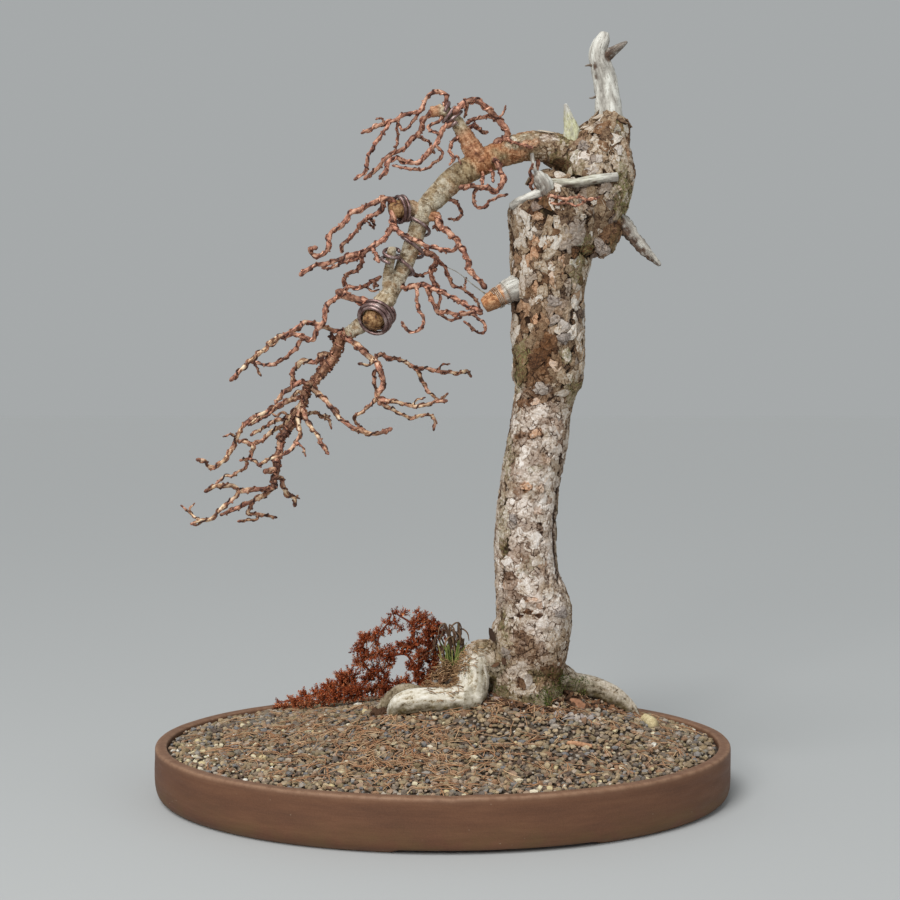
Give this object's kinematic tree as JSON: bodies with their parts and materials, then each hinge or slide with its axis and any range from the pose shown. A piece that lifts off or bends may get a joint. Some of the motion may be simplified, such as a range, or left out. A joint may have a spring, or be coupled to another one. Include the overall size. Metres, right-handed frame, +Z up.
{
  "type": "larch bonsai",
  "caption": "Larch bonsai in winter without needles: thick straight trunk, one falling bough with wired twigs, dead wood at the top, oval brown pot.",
  "frame": {"origin": "middle of the oval pot on the surface that it stands on", "axes": "+Z up along the trunk, +X to the side that the top of the tree leans to, -Y to the viewing side, with the pot's long axis along X"},
  "size_m": [0.57, 0.408, 0.7589],
  "materials": {
    "stoneware": "unglazed matte brown",
    "plastic_mesh": "matte black",
    "gravel": "rough mixed grit",
    "bark": "flaking grey bark over brown",
    "twig_bark": "copper brown young bark",
    "deadwood": "bleached grey wood",
    "training_wire": "dark brown anodised",
    "guy_steel": "dull grey",
    "heather": "dry rust brown",
    "grass": "dull green",
    "dry_stem": "dry brown"
  },
  "bodies": {
    "root": {"pot": "stoneware", "drain_mesh_left": "plastic_mesh", "drain_mesh_right": "plastic_mesh", "soil": "gravel", "trunk": "bark", "deadwood_apex": "deadwood", "deadwood_snag": "deadwood", "deadwood_knot": "deadwood", "deadwood_jin": "deadwood", "deadwood_stub": "deadwood", "branch_crown": "twig_bark", "branch_crest": "twig_bark", "branch_inner": "twig_bark", "branch_ball": "twig_bark", "branch_coil": "twig_bark", "branch_side": "twig_bark", "branch_knee": "twig_bark", "branch_front": "twig_bark", "branch_low": "twig_bark", "branch_low_left": "twig_bark", "branch_low_right": "twig_bark", "wire_crown": "training_wire", "wire_ball": "training_wire", "wire_cut_stub": "training_wire", "wire_curl": "training_wire", "wire_bough": "training_wire", "heather": "heather", "grass_tuft": "grass", "dry_stems": "dry_stem", "litter_stick": "dry_stem", "litter_root": "deadwood", "litter_flake": "dry_stem", "guy_wire": "guy_steel"}
  },
  "joints": []
}
